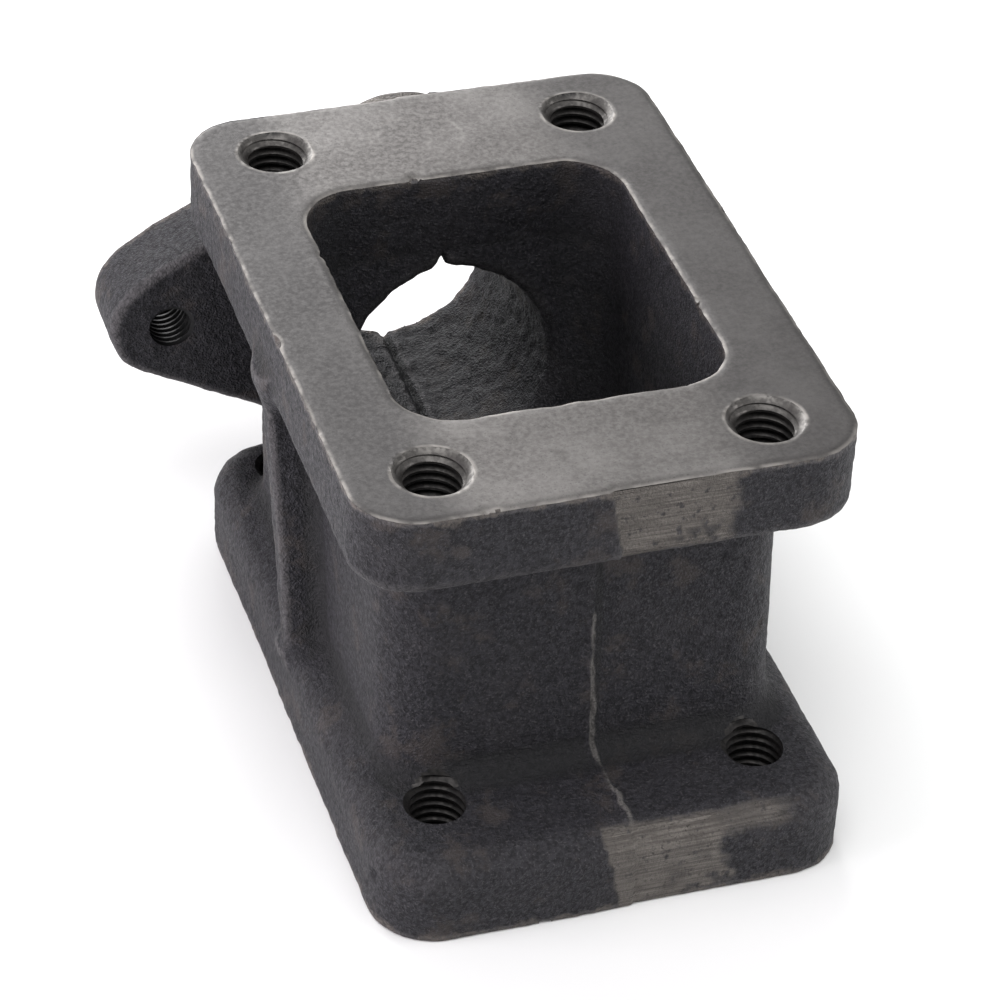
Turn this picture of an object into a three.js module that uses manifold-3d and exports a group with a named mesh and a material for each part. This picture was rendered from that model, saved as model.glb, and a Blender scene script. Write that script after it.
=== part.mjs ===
// Turbocharger manifold adapter with a wastegate branch: one grey-iron casting, modelled as its named zones.
// Millimetres, +Z up. The manifold flange's machined face lies on z = 0, and the turbine flange's machined
// face is the top. The origin is the middle of the whole part's footprint on the manifold face.
// The zones of the casting meet on flat planes, face to face.
import * as THREE from "three";
import { mergeVertices } from "three/addons/utils/BufferGeometryUtils.js";
import Module from "manifold-3d";

// ---- driving dimensions -------------------------------------------------------------------------------
const TOTAL_HEIGHT = 68.5;

// Bolt pattern of both gas flanges: four M10 x 1.5 tapped holes on a rectangle.
const BOLT_SPACING_X = 49;
const BOLT_SPACING_Y = 84.5;
const GAS_THREAD_MINOR = 8.5;
const GAS_CHAMFER_DIAMETER = 11.4;

// Each flange's margins run from its outer bolt holes' centres to its edges.
const TURBINE_SIDE_MARGIN = 13;
const TURBINE_END_MARGIN = 11;
const TURBINE_THICKNESS = 13.5;
const TURBINE_CORNER = 9.5;

const MANIFOLD_SIDE_MARGIN = 11.75;
const MANIFOLD_FRONT_MARGIN = 14.25;
const MANIFOLD_BACK_MARGIN = 9.75;
const MANIFOLD_THICKNESS = 14;
const MANIFOLD_CORNER = 10;

// The manifold bolt pattern stands this far in front of the turbine bolt pattern.
const PATTERN_SETBACK = 7.5;

// Gas port: the same window in both flanges, a little in front of each bolt pattern's middle.
const PORT_WIDTH = 50;
const PORT_LENGTH = 61;
const PORT_CORNER = 9;
const PORT_FORWARD = 1;

// The end walls are measured at half height, because the duct leans less than the gas way inside it.
const DUCT_SIDE_WALL = 5.75;
const DUCT_FRONT_WALL = 8.25;
const DUCT_BACK_WALL = 9.75;
const DUCT_CORNER = 9;
const DUCT_LEAN = 3.5;

const RIB_ROOT_THICKNESS = 8.5;
const RIB_EDGE_THICKNESS = 3.5;
const RIB_INSET = 0.25;

// Wastegate branch: a round bore along +Y, then a two-bolt diamond flange with M8 x 1.25 tapped holes.
const BORE_DIAMETER = 31;
const BORE_DRAFT_DEGREES = 1.5;
const NECK_WALL = 7.5;
const WASTEGATE_THICKNESS = 12.75;
const WASTEGATE_FACE_PROUD = 7.5; // from the turbine flange's back edge out to the wastegate face
const WASTEGATE_BOLT_SPACING = 80;
const WASTEGATE_EAR_RADIUS = 9.75;
const WASTEGATE_CROWN_CLEARANCE = 4.25; // from each crown to the machined face that it stands behind
const WASTEGATE_CROWN_RADIUS = 13.25;
const WASTEGATE_THREAD_MINOR = 6.8;
const WASTEGATE_CHAMFER_DIAMETER = 8.4;

const CUT_PAST = 1; // how far a cutter runs past the face it opens
const CORNER_STEPS = 8;
const HOLE_STEPS = 24;
const BORE_STEPS = 48;

// ---- places worked out from them ----------------------------------------------------------------------
const turbineWidth = BOLT_SPACING_X + 2 * TURBINE_SIDE_MARGIN;
const manifoldWidth = BOLT_SPACING_X + 2 * MANIFOLD_SIDE_MARGIN;
const turbineUnderside = TOTAL_HEIGHT - TURBINE_THICKNESS;
const turbineBack = BOLT_SPACING_Y / 2 + TURBINE_END_MARGIN;
const turbinePatternY = 0;
const manifoldPatternY = turbinePatternY - PATTERN_SETBACK;
const manifoldFront = manifoldPatternY - BOLT_SPACING_Y / 2 - MANIFOLD_FRONT_MARGIN;
const manifoldBack = manifoldPatternY + BOLT_SPACING_Y / 2 + MANIFOLD_BACK_MARGIN;
const turbinePortY = turbinePatternY - PORT_FORWARD;
const manifoldPortY = manifoldPatternY - PORT_FORWARD;

const ductHeight = turbineUnderside - MANIFOLD_THICKNESS;
const ductHalfWidth = PORT_WIDTH / 2 + DUCT_SIDE_WALL;
const ductMiddleY = (turbinePortY + manifoldPortY) / 2;
const ductFront = ductMiddleY - PORT_LENGTH / 2 - DUCT_FRONT_WALL;
const ductBack = ductMiddleY + PORT_LENGTH / 2 + DUCT_BACK_WALL;

const wastegateAxisZ = TOTAL_HEIGHT / 2;
const wastegateHalfHeight = TOTAL_HEIGHT / 2 - WASTEGATE_CROWN_CLEARANCE;
const neckStart = ductBack + DUCT_LEAN / 2;
const wastegateFace = turbineBack + WASTEGATE_FACE_PROUD;
const wastegateBack = wastegateFace - WASTEGATE_THICKNESS;
const neckRadius = BORE_DIAMETER / 2 + NECK_WALL;

const footprintFront = Math.min(manifoldFront, -turbineBack);
const footprintMiddleY = (footprintFront + wastegateFace) / 2;

// ---- solids -------------------------------------------------------------------------------------------
const wasm = await Module();
wasm.setup();

function solidFrom(geometry) {
  const bare = geometry.index ? geometry.toNonIndexed() : geometry.clone();
  bare.deleteAttribute("normal");
  bare.deleteAttribute("uv");
  const merged = mergeVertices(bare, 1e-4);
  return new wasm.Manifold(
    new wasm.Mesh({
      numProp: 3,
      vertProperties: new Float32Array(merged.attributes.position.array),
      triVerts: new Uint32Array(merged.index.array),
    }),
  );
}

function geometryFrom(solid) {
  const mesh = solid.getMesh();
  const geometry = new THREE.BufferGeometry();
  geometry.setAttribute("position", new THREE.BufferAttribute(mesh.vertProperties, 3));
  geometry.setIndex(new THREE.BufferAttribute(mesh.triVerts, 1));
  geometry.computeVertexNormals();
  return geometry;
}

// ---- outlines -----------------------------------------------------------------------------------------
function roundedRectangle(halfWidth, front, back, corner) {
  const shape = new THREE.Shape();
  const x = halfWidth - corner;
  shape.absarc(x, front + corner, corner, -Math.PI / 2, 0);
  shape.absarc(x, back - corner, corner, 0, Math.PI / 2);
  shape.absarc(-x, back - corner, corner, Math.PI / 2, Math.PI);
  shape.absarc(-x, front + corner, corner, Math.PI, (3 * Math.PI) / 2);
  return shape;
}

// Two ears and two crowns joined by their common tangents.
function diamondOutline() {
  const earX = WASTEGATE_BOLT_SPACING / 2;
  const crownY = wastegateHalfHeight - WASTEGATE_CROWN_RADIUS;
  const reach = Math.hypot(earX, crownY);
  const lean = Math.acos((WASTEGATE_CROWN_RADIUS - WASTEGATE_EAR_RADIUS) / reach);
  const tangent = lean - Math.atan2(crownY, earX);
  const shape = new THREE.Shape();
  shape.absarc(earX, 0, WASTEGATE_EAR_RADIUS, -tangent, tangent);
  shape.absarc(0, crownY, WASTEGATE_CROWN_RADIUS, tangent, Math.PI - tangent);
  shape.absarc(-earX, 0, WASTEGATE_EAR_RADIUS, Math.PI - tangent, Math.PI + tangent);
  shape.absarc(0, -crownY, WASTEGATE_CROWN_RADIUS, Math.PI + tangent, 2 * Math.PI - tangent);
  return shape;
}

function slab(shape, bottom, top) {
  const geometry = new THREE.ExtrudeGeometry(shape, {
    depth: top - bottom,
    bevelEnabled: false,
    curveSegments: CORNER_STEPS,
  });
  return geometry.translate(0, 0, bottom);
}

// A slab that stands upright: the outline's plane is XZ at the axis height, and it runs along +Y.
function uprightSlab(shape, back, face) {
  const geometry = slab(shape, 0, face - back);
  return geometry.rotateX(Math.PI / 2).translate(0, face, wastegateAxisZ);
}

function block(x0, x1, y0, y1, z0, z1) {
  const geometry = new THREE.BoxGeometry(x1 - x0, y1 - y0, z1 - z0);
  return solidFrom(geometry.translate((x0 + x1) / 2, (y0 + y1) / 2, (z0 + z1) / 2));
}

// ---- cutters ------------------------------------------------------------------------------------------
// A tapped hole along Z, from bottom to top, with a countersink at its mouth: 1 = top, -1 = bottom.
function tappedHole(minor, mouth, bottom, top, mouthSide) {
  const r = minor / 2;
  const flare = mouth / 2 - r;
  const profile = [
    [0, bottom - CUT_PAST],
    [r, bottom - CUT_PAST],
    [r, top - flare],
    [r + flare, top],
    [r + flare, top + CUT_PAST],
    [0, top + CUT_PAST],
  ];
  const points = profile.map(([x, y]) => new THREE.Vector2(x, y));
  const geometry = new THREE.LatheGeometry(points, HOLE_STEPS).rotateX(Math.PI / 2);
  if (mouthSide > 0) return geometry;
  return geometry.rotateX(Math.PI).translate(0, 0, bottom + top);
}

function gasHoles(bottom, top, patternY, mouthSide) {
  const holes = [];
  for (const sideX of [-1, 1])
    for (const sideY of [-1, 1]) {
      const hole = tappedHole(GAS_THREAD_MINOR, GAS_CHAMFER_DIAMETER, bottom, top, mouthSide);
      const y = patternY + (sideY * BOLT_SPACING_Y) / 2;
      holes.push(solidFrom(hole.translate((sideX * BOLT_SPACING_X) / 2, y, 0)));
    }
  return holes;
}

function portWindow(bottom, top, middleY) {
  const half = PORT_LENGTH / 2;
  const outline = roundedRectangle(PORT_WIDTH / 2, middleY - half, middleY + half, PORT_CORNER);
  return slab(outline, bottom, top);
}

// Leans an upright prism of the duct: it moves towards +Y by lean from the duct's foot to its head.
function leaned(geometry, lean) {
  const shear = new THREE.Matrix4().makeShear(0, 0, 0, 0, 0, lean / ductHeight);
  geometry.translate(0, 0, -MANIFOLD_THICKNESS - ductHeight / 2);
  return geometry.applyMatrix4(shear).translate(0, 0, MANIFOLD_THICKNESS + ductHeight / 2);
}

// The gas way inside the duct, from the manifold port to the turbine port.
function leaningPassage() {
  const window = portWindow(MANIFOLD_THICKNESS - CUT_PAST, turbineUnderside + CUT_PAST, ductMiddleY);
  return solidFrom(leaned(window, turbinePortY - manifoldPortY));
}

// The wastegate bore, a little wider towards the duct.
function wastegateBore() {
  const start = manifoldPortY;
  const end = wastegateFace + CUT_PAST;
  const widening = Math.tan(THREE.MathUtils.degToRad(BORE_DRAFT_DEGREES));
  const radiusAt = (y) => BORE_DIAMETER / 2 + (wastegateFace - y) * widening;
  const geometry = new THREE.CylinderGeometry(radiusAt(end), radiusAt(start), end - start, BORE_STEPS);
  return solidFrom(geometry.translate(0, (start + end) / 2, wastegateAxisZ));
}

const bore = wastegateBore();

// ---- zones of the casting -----------------------------------------------------------------------------
function turbineFlange() {
  const outline = roundedRectangle(turbineWidth / 2, -turbineBack, turbineBack, TURBINE_CORNER);
  let solid = solidFrom(slab(outline, turbineUnderside, TOTAL_HEIGHT));
  const window = portWindow(turbineUnderside - CUT_PAST, TOTAL_HEIGHT + CUT_PAST, turbinePortY);
  solid = solid.subtract(solidFrom(window));
  const holes = gasHoles(turbineUnderside, TOTAL_HEIGHT, turbinePatternY, 1);
  for (const hole of holes) solid = solid.subtract(hole);
  return solid;
}

function manifoldFlange() {
  const outline = roundedRectangle(manifoldWidth / 2, manifoldFront, manifoldBack, MANIFOLD_CORNER);
  let solid = solidFrom(slab(outline, 0, MANIFOLD_THICKNESS));
  solid = solid.subtract(solidFrom(portWindow(-CUT_PAST, MANIFOLD_THICKNESS + CUT_PAST, manifoldPortY)));
  const holes = gasHoles(0, MANIFOLD_THICKNESS, manifoldPatternY, -1);
  for (const hole of holes) solid = solid.subtract(hole);
  return solid;
}

// A block of the space between the two gas flanges.
function betweenFlanges(x0, x1, y0, y1) {
  return block(x0, x1, y0, y1, MANIFOLD_THICKNESS, turbineUnderside);
}

// The neck is flattened above and below, where it meets the gas flanges.
function neckStretch(start, end) {
  const round = new THREE.CylinderGeometry(neckRadius, neckRadius, end - start, BORE_STEPS);
  const solid = solidFrom(round.translate(0, (start + end) / 2, wastegateAxisZ));
  const reach = neckRadius + CUT_PAST;
  return solid.intersect(betweenFlanges(-reach, reach, start - CUT_PAST, end + CUT_PAST));
}

// The duct's four walls meet at the two planes of the port's sides. The back wall carries the neck's root.
function ductWalls() {
  const outline = roundedRectangle(ductHalfWidth, ductFront, ductBack, DUCT_CORNER);
  const whole = solidFrom(leaned(slab(outline, MANIFOLD_THICKNESS, turbineUnderside), DUCT_LEAN));
  const root = neckStretch(ductMiddleY, neckStart).intersect(
    betweenFlanges(-neckRadius, neckRadius, ductMiddleY, neckStart),
  );
  const shell = whole.add(root).subtract(leaningPassage()).subtract(bore);
  const side = PORT_WIDTH / 2;
  const far = ductHalfWidth + neckRadius;
  const front = ductFront - DUCT_LEAN;
  return {
    front: shell.intersect(betweenFlanges(-side, side, front, ductMiddleY)),
    back: shell.intersect(betweenFlanges(-side, side, ductMiddleY, neckStart)),
    left: shell.intersect(betweenFlanges(-far, -side, front, neckStart)),
    right: shell.intersect(betweenFlanges(side, far, front, neckStart)),
  };
}

function wastegateNeck() {
  return neckStretch(neckStart, wastegateBack).subtract(bore);
}

// The diamond flange's crown stands behind the turbine flange, which takes the corner that they share.
function wastegateFlange() {
  let solid = solidFrom(uprightSlab(diamondOutline(), wastegateBack, wastegateFace)).subtract(bore);
  const wide = turbineWidth;
  const start = wastegateBack - CUT_PAST;
  const shared = block(-wide, wide, start, turbineBack, turbineUnderside, TOTAL_HEIGHT);
  if (turbineBack > wastegateBack) solid = solid.subtract(shared);
  for (const side of [-1, 1]) {
    const depth = WASTEGATE_THICKNESS;
    for (const mouth of [-1, 1]) {
      const hole = tappedHole(WASTEGATE_THREAD_MINOR, WASTEGATE_CHAMFER_DIAMETER, 0, depth, mouth);
      hole.rotateX(Math.PI / 2).translate((side * WASTEGATE_BOLT_SPACING) / 2, wastegateFace, wastegateAxisZ);
      solid = solid.subtract(solidFrom(hole));
    }
  }
  return solid;
}

// A web from flange to flange on the duct's side wall. It leans with the two bolt patterns, thins towards
// its outer edge, and ends just inside the sides of both flanges.
function sideRib(side) {
  const level = (z, patternY, flangeWidth) => {
    const root = RIB_ROOT_THICKNESS / 2;
    const edge = RIB_EDGE_THICKNESS / 2;
    const outer = flangeWidth / 2 - RIB_INSET;
    return [
      [side * ductHalfWidth, patternY - side * root, z],
      [side * outer, patternY - side * edge, z],
      [side * outer, patternY + side * edge, z],
      [side * ductHalfWidth, patternY + side * root, z],
    ];
  };
  const corners = [
    ...level(MANIFOLD_THICKNESS, manifoldPatternY, manifoldWidth),
    ...level(turbineUnderside, turbinePatternY, turbineWidth),
  ];
  const quads = [
    [3, 2, 1, 0],
    [4, 5, 6, 7],
    [0, 1, 5, 4],
    [1, 2, 6, 5],
    [2, 3, 7, 6],
    [3, 0, 4, 7],
  ];
  const geometry = new THREE.BufferGeometry();
  geometry.setAttribute("position", new THREE.Float32BufferAttribute(corners.flat(), 3));
  geometry.setIndex(quads.flatMap(([a, b, c, d]) => [a, b, c, a, c, d]));
  return solidFrom(geometry);
}

// ---- the assembly -------------------------------------------------------------------------------------
const asCastIron = { color: 0x2b2b2d, roughness: 0.82, metalness: 0.55 };
const machinedIron = { color: 0x6a6664, roughness: 0.48, metalness: 0.85 };

const walls = ductWalls();
const zones = [
  ["turbine_flange", turbineFlange(), machinedIron],
  ["manifold_flange", manifoldFlange(), asCastIron],
  ["duct_front_wall", walls.front, asCastIron],
  ["duct_back_wall", walls.back, asCastIron],
  ["duct_left_wall", walls.left, asCastIron],
  ["duct_right_wall", walls.right, asCastIron],
  ["wastegate_neck", wastegateNeck(), asCastIron],
  ["wastegate_flange", wastegateFlange(), asCastIron],
  ["left_rib", sideRib(-1), asCastIron],
  ["right_rib", sideRib(1), asCastIron],
];

const adapter = new THREE.Group();
adapter.name = "manifold_adapter";
adapter.position.y = -footprintMiddleY;
for (const [name, solid, finish] of zones) {
  const mesh = new THREE.Mesh(geometryFrom(solid), new THREE.MeshStandardMaterial(finish));
  mesh.name = name;
  adapter.add(mesh);
}

export default adapter;
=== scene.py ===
import math
import bpy
import numpy as np
from mathutils import Matrix, Vector
from mathutils.kdtree import KDTree


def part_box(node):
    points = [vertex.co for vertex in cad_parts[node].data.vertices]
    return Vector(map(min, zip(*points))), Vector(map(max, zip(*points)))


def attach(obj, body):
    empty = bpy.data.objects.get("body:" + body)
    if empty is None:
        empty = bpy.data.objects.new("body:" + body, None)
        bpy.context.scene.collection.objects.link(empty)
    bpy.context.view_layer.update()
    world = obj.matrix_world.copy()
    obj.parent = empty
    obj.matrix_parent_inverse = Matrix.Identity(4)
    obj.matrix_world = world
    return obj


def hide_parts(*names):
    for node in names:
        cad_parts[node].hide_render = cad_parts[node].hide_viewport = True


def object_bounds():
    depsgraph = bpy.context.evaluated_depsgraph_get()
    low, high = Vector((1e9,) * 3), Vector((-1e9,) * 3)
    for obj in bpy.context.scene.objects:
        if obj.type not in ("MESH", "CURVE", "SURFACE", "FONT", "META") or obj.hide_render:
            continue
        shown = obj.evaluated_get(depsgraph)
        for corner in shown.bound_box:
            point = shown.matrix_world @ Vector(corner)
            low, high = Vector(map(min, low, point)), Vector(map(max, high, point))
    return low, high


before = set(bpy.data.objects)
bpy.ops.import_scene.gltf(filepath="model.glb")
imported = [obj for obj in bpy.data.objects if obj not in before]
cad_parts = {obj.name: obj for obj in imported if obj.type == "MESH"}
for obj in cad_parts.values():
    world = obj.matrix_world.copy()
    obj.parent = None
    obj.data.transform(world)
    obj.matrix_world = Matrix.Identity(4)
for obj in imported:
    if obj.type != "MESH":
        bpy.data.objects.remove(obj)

# The adapter is one iron casting. Its rough skin is shaped here as a distance field in millimetres, meshed,
# displaced like sand-cast iron, then faced, drilled and tapped by booleans, as the real one is machined.
# The result is cut into one closed piece for each CAD node, and every piece replaces its node.

cad_low, cad_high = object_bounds()
MM = 0.001


def box_mm(node):
    low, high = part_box(node)
    return np.array(low) / MM, np.array(high) / MM


# ---- sizes, in millimetres ----------------------------------------------------------------------------
TURBINE_LOW, TURBINE_HIGH = box_mm("turbine_flange")
MANIFOLD_LOW, MANIFOLD_HIGH = box_mm("manifold_flange")
GATE_LOW, GATE_HIGH = box_mm("wastegate_flange")
NECK_LOW, NECK_HIGH = box_mm("wastegate_neck")
DUCT_FRONT = box_mm("duct_front_wall")[0][1]
DUCT_BACK = box_mm("duct_back_wall")[1][1]
DUCT_HALF_X = box_mm("duct_right_wall")[1][0]
DUCT_MIDDLE = (DUCT_FRONT + DUCT_BACK) / 2
RIB_ROOT_X = box_mm("right_rib")[0][0]

TOP_FACE = TURBINE_HIGH[2]
BOTTOM_FACE = MANIFOLD_LOW[2]
GATE_FACE = GATE_HIGH[1]
AXIS_Z = (TOP_FACE + BOTTOM_FACE) / 2
TURBINE_UNDER = TURBINE_LOW[2]
MANIFOLD_UPPER = MANIFOLD_HIGH[2]

BOLT_SPACING_X = 49.0
BOLT_SPACING_Y = 84.5
TURBINE_END_MARGIN = 11.0
MANIFOLD_FRONT_MARGIN = 14.25
TURBINE_BOLT_Y = TURBINE_HIGH[1] - TURBINE_END_MARGIN - BOLT_SPACING_Y / 2
MANIFOLD_BOLT_Y = MANIFOLD_LOW[1] + MANIFOLD_FRONT_MARGIN + BOLT_SPACING_Y / 2
THREAD_MAJOR = 10.1
THREAD_MINOR = 8.5
THREAD_PITCH = 1.5
CHAMFER_ACROSS = 11.4

PORT_HALF_X = 25.0
PORT_HALF_Y = 30.5
PORT_CORNER = 9.0
PORT_FORWARD = 1.0
TURBINE_CORNER = 9.5
MANIFOLD_CORNER = 10.0
DUCT_CORNER = 9.0
DUCT_LEAN = 3.5

BORE_RADIUS = 15.5
BORE_WIDENING = math.tan(math.radians(1.5))
GATE_BOLT_SPACING = 80.0
GATE_EAR_RADIUS = 9.75
GATE_CROWN_RADIUS = 13.25
GATE_THREAD_MAJOR = 8.1
GATE_THREAD_MINOR = 6.8
GATE_THREAD_PITCH = 1.25
GATE_CHAMFER_ACROSS = 8.8

# The casting.
VOXEL = 0.5
SKIN = 0.22  # the cast skin lies this far inside the nominal surface, which keeps its grain within the size
STOCK = 1.6  # iron left on each face for machining
UNDER_EDGE = 2.4
UPPER_EDGE = 4.6
GATE_EDGE = 1.3
RIB_EDGE = 0.8
RIB_ROOT_HALF = 3.6
RIB_EDGE_HALF = 1.8
RIB_BACKWARD = 0.6
FLANGE_FILLET = 5.0
FOOT_FILLET = 3.6
NECK_FILLET = 4.0
RIB_FILLET = 2.2
CAVITY_EDGE = 2.6
UPPER_SWELL = 0.85  # the wastegate flange's upper sides bulge out this far
GRID_MARGIN = 2.5
CUT_REACH = 66.0  # past every side of the casting
FACE_CELL = 0.75

# The mould's joint: the right half sits a little further back, and iron ran into the joint as flash.
PARTING_X = 0.4
PARTING_DRIFT = 2.4  # to the left, up the turbine flange's front side
FOOT_DRIFT_REACH = (4.0, 12.0)  # on the foot it drifts right, over this much height and depth
MISMATCH = 0.35
MISMATCH_STEP = (-0.15, 0.25)  # from left to right of the joint
FLASH_HEIGHT = 0.6
FLASH_WIDTH = 0.58
FLASH_TOP = 39.0  # it stands out on the front below this height
FLASH_ELSEWHERE = 0.25

# The sand core of the wastegate bore: its own joint runs along its top and bottom.
CORE_JOINT_X = -1.0
CORE_FLASH = 1.0
CORE_FLASH_WIDTH = 0.55
CORE_FLARE = 1.6  # more of it at the top of the bore's inner end
CORE_FLARE_WIDTH = 1.8
CORE_FLARE_Y = (34, 48)  # all of it in front of the first, none behind the second


# ---- distance fields ----------------------------------------------------------------------------------
def across(a, b):
    return np.sqrt(a * a + b * b)


def join_round(a, b, radius):
    """Union of two fields with a fillet."""
    corner = across(np.maximum(radius - a, 0), np.maximum(radius - b, 0))
    return np.maximum(radius, np.minimum(a, b)) - corner


def meet_round(a, b, radius):
    """Intersection of two fields with a rounded edge."""
    return -join_round(-a, -b, radius)


def rounded_rectangle(x, y, half_x, half_y, corner):
    qx = np.abs(x) - (half_x - corner)
    qy = np.abs(y) - (half_y - corner)
    outside = across(np.maximum(qx, 0), np.maximum(qy, 0))
    return outside + np.minimum(np.maximum(qx, qy), 0) - corner


def diamond(x, z):
    """Two ears and two crowns joined by their common tangents, about the wastegate's axis."""
    crown_z = (GATE_HIGH[2] - GATE_LOW[2]) / 2 - GATE_CROWN_RADIUS
    ear_x = GATE_BOLT_SPACING / 2
    run = math.hypot(ear_x, crown_z)
    px, pz = np.abs(x) - ear_x, np.abs(z)
    outward = (px * crown_z + pz * ear_x) / run
    along = (pz * crown_z - px * ear_x) / run
    slope = (GATE_EAR_RADIUS - GATE_CROWN_RADIUS) / run
    rise = math.sqrt(1 - slope * slope)
    reach = rise * along - slope * outward
    ear = across(px, pz) - GATE_EAR_RADIUS
    crown = across(px + ear_x, pz - crown_z) - GATE_CROWN_RADIUS
    side = rise * outward + slope * along - GATE_EAR_RADIUS
    return np.where(reach < 0, ear, np.where(reach > rise * run, crown, side))


def middle(low, high):
    return (low[1] + high[1]) / 2


def flange(x, y, low, high, corner):
    half_x, half_y = (high[0] - low[0]) / 2, (high[1] - low[1]) / 2
    return rounded_rectangle(x, y - middle(low, high), half_x, half_y, corner) + SKIN


def parting(y, z):
    """The x of the mould's joint, which drifts left up the turbine flange and right out over the foot."""
    up = np.clip((z - TURBINE_UNDER) / (TOP_FACE - TURBINE_UNDER), 0, 1)
    high, deep = FOOT_DRIFT_REACH
    foot = np.clip((z - MANIFOLD_UPPER - high) / -high, 0, 1) * np.clip((DUCT_FRONT + 2 - y) / deep, 0, 1)
    return PARTING_X - PARTING_DRIFT * up + foot


def upper_swell(x, z):
    """The bulge of the wastegate flange's upper sides, which fades out to its axis and its ears."""
    fade = 8
    above = ramp(z, AXIS_Z + 1, AXIS_Z + fade)
    return UPPER_SWELL * above * ramp(GATE_HIGH[0] - 1.5 - np.abs(x), 0, fade)


def outer_skin(x, y, z):
    joint = parting(y, z)
    y = y - MISMATCH * ramp(x, joint + MISMATCH_STEP[0], joint + MISMATCH_STEP[1])
    turbine = flange(x, y, TURBINE_LOW, TURBINE_HIGH, TURBINE_CORNER)
    turbine = meet_round(turbine, TURBINE_UNDER + SKIN - z, UNDER_EDGE)
    turbine = np.maximum(turbine, z - TOP_FACE - STOCK)
    manifold = flange(x, y, MANIFOLD_LOW, MANIFOLD_HIGH, MANIFOLD_CORNER)
    manifold = meet_round(manifold, z - MANIFOLD_UPPER + SKIN, UPPER_EDGE)
    manifold = np.maximum(manifold, BOTTOM_FACE - STOCK - z)

    half_y = (DUCT_BACK - DUCT_FRONT - DUCT_LEAN) / 2
    lean = DUCT_LEAN * (z - AXIS_Z) / (TURBINE_UNDER - MANIFOLD_UPPER)
    duct_y = y - DUCT_MIDDLE - lean
    duct = rounded_rectangle(x, duct_y, DUCT_HALF_X, half_y, DUCT_CORNER) + SKIN
    duct = np.maximum(duct, np.abs(z - AXIS_Z) - (TURBINE_UNDER - AXIS_Z) - STOCK)

    neck = across(x, z - AXIS_Z) - NECK_HIGH[0] + SKIN
    neck = np.maximum(neck, np.maximum(-y, y - GATE_LOW[1] - STOCK))
    gate = diamond(x, z - AXIS_Z) + SKIN - upper_swell(x, z)
    gate = meet_round(gate, GATE_LOW[1] + SKIN - y, GATE_EDGE)
    gate = np.maximum(gate, y - GATE_FACE - STOCK)

    rise = np.clip((z - MANIFOLD_UPPER) / (TURBINE_UNDER - MANIFOLD_UPPER), 0, 1)
    rib_y = MANIFOLD_BOLT_Y + (TURBINE_BOLT_Y - MANIFOLD_BOLT_Y) * rise + RIB_BACKWARD
    outer = MANIFOLD_HIGH[0] + (TURBINE_HIGH[0] - MANIFOLD_HIGH[0]) * rise
    outward = np.clip((np.abs(x) - DUCT_HALF_X) / (outer - DUCT_HALF_X), 0, 1)
    thick = RIB_ROOT_HALF + (RIB_EDGE_HALF - RIB_ROOT_HALF) * outward
    rib = meet_round(np.abs(y - rib_y) - thick, np.abs(x) - outer + SKIN, RIB_EDGE)
    rib = np.maximum(rib, np.abs(z - AXIS_Z) - (TURBINE_UNDER - AXIS_Z) - STOCK)

    body = join_round(duct, neck, NECK_FILLET)
    body = join_round(body, rib, RIB_FILLET)
    body = join_round(body, gate, NECK_FILLET)
    body = join_round(body, turbine, FLANGE_FILLET)
    return join_round(body, manifold, FOOT_FILLET)


def cores(x, y, z):
    """The gas way and the wastegate bore, which sand cores leave open."""
    rise = np.clip((z - MANIFOLD_UPPER) / (TURBINE_UNDER - MANIFOLD_UPPER), 0, 1)
    port_y = MANIFOLD_BOLT_Y + (TURBINE_BOLT_Y - MANIFOLD_BOLT_Y) * rise - PORT_FORWARD
    port = rounded_rectangle(x, y - port_y, PORT_HALF_X, PORT_HALF_Y, PORT_CORNER)
    height = z - AXIS_Z
    bore = across(x, height) - BORE_RADIUS - BORE_WIDENING * (GATE_FACE - y)
    joint = np.exp(-(((x - CORE_JOINT_X) / CORE_FLASH_WIDTH) ** 2)) * CORE_FLASH
    near, far = CORE_FLARE_Y
    flare = np.exp(-np.abs(x - CORE_JOINT_X) / CORE_FLARE_WIDTH) * CORE_FLARE * (height > 0)
    flare = flare * ramp(-y, -far, -near)
    bore = bore - joint - flare
    bore = np.maximum(bore, -y)
    return join_round(port, bore, CAVITY_EDGE)


def casting(x, y, z):
    return np.maximum(outer_skin(x, y, z), -cores(x, y, z))


def ramp(value, start, end):
    t = np.clip((value - start) / (end - start), 0, 1)
    return t * t * (3 - 2 * t)


# ---- noise --------------------------------------------------------------------------------------------
NOISE_LOW = np.array([-60.0, -75.0, -10.0])
NOISE_SPAN = np.array([120.0, 150.0, 90.0])


def grain(points, size, seed):
    """Smooth random field from -1 to 1 with features of that size."""
    counts = np.ceil(NOISE_SPAN / size).astype(int) + 2
    lattice = np.random.default_rng(seed).uniform(-1, 1, counts).astype(np.float32)
    place = (points - NOISE_LOW) / size
    cell = np.floor(place).astype(int)
    t = place - cell
    t = t * t * (3 - 2 * t)
    total = np.zeros(len(points))
    for dx in (0, 1):
        for dy in (0, 1):
            for dz in (0, 1):
                weight = 1.0
                for axis, step in enumerate((dx, dy, dz)):
                    weight = weight * (t[:, axis] if step else 1 - t[:, axis])
                total += weight * lattice[cell[:, 0] + dx, cell[:, 1] + dy, cell[:, 2] + dz]
    return total


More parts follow.
